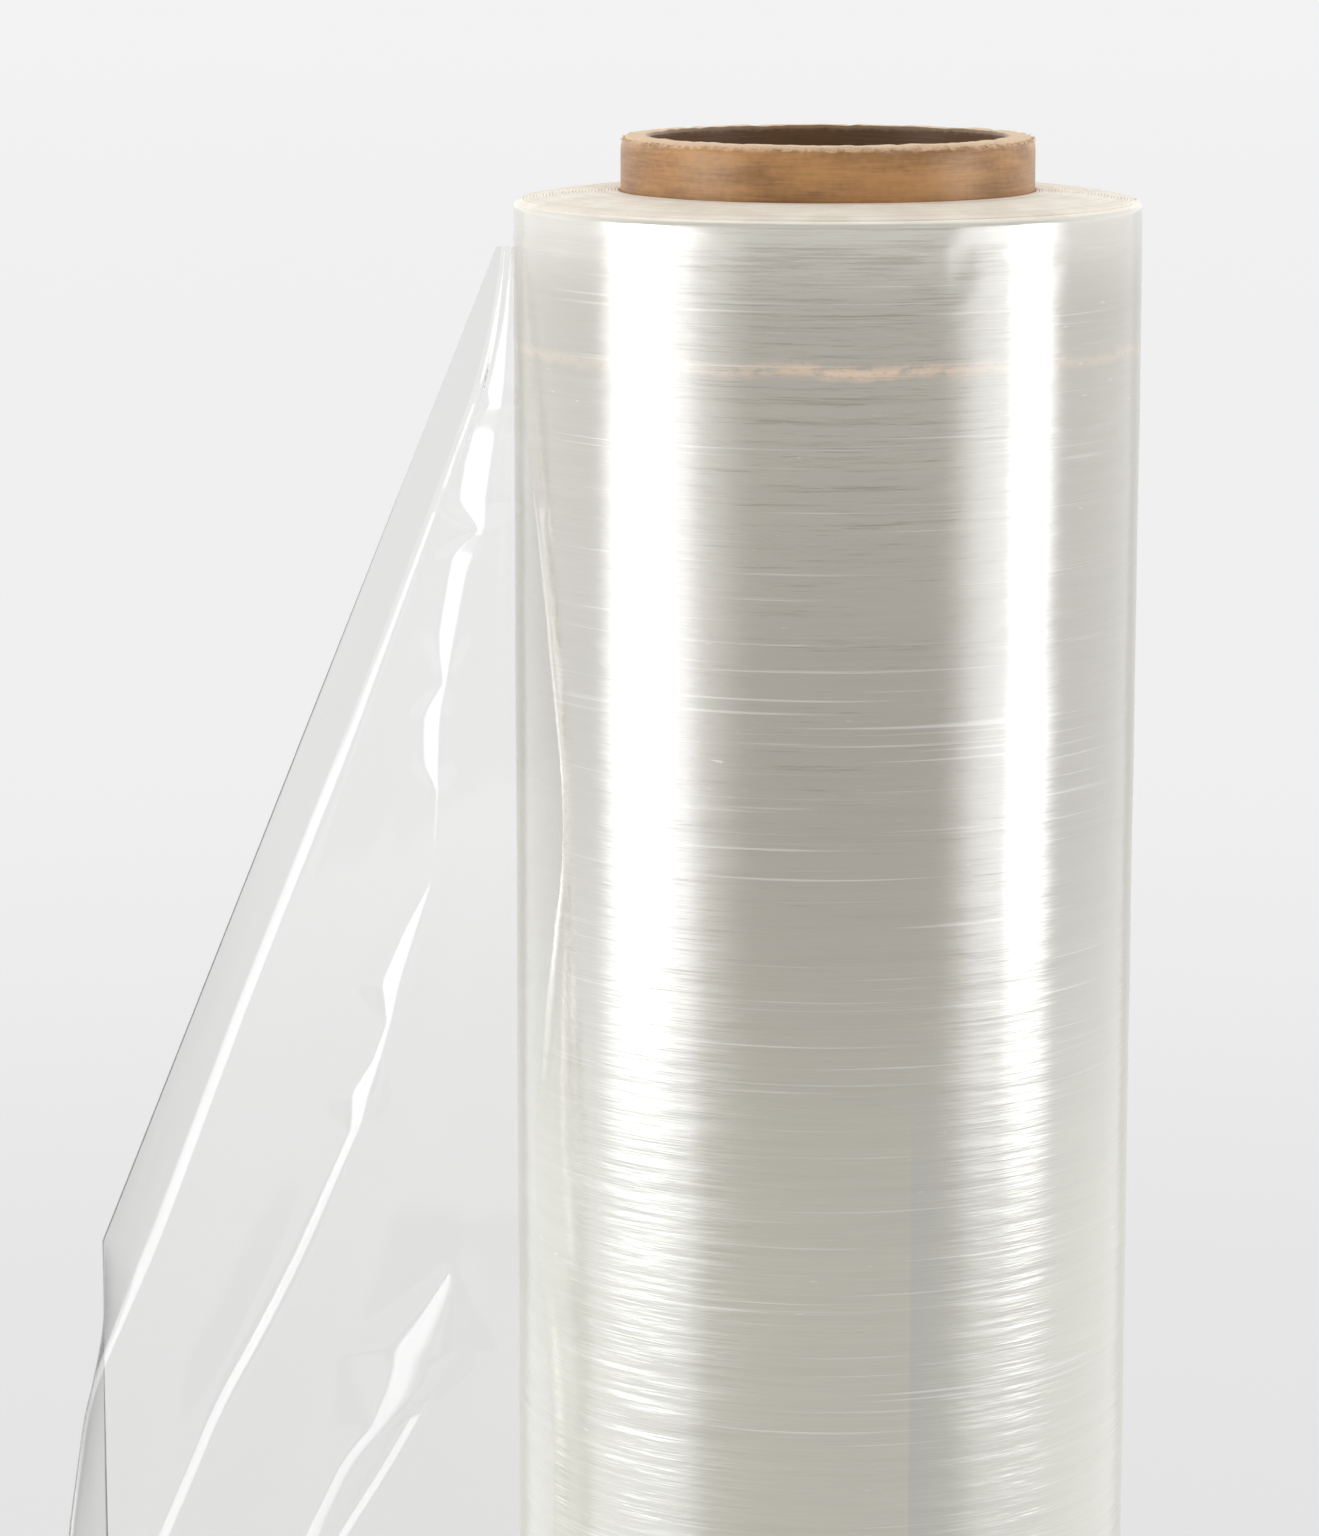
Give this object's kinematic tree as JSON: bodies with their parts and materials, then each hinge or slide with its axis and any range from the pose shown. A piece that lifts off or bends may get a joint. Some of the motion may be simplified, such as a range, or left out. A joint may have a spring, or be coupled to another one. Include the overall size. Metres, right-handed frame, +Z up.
{
  "type": "stretch wrap roll",
  "caption": "Roll of clear stretch film wound on a paper tube, standing on end, with the film's loose tail hanging in folds at one side.",
  "frame": {"origin": "on the axis of the paper tube's bore, at the tube's lower end, on which the roll stands", "axes": "+Z up along the tube's bore; the film's loose tail hangs on the -X side; -Y is the side that faces a viewer who sees the tail on the left"},
  "size_m": [0.2355, 0.134, 0.524],
  "materials": {
    "core_board": "matte kraft paper board, spiral wound",
    "clear_film": "glossy clear polyethylene film, milky where it is wound"
  },
  "bodies": {
    "root": {"cardboard_core": "core_board", "stretch_film": "clear_film"}
  },
  "joints": []
}
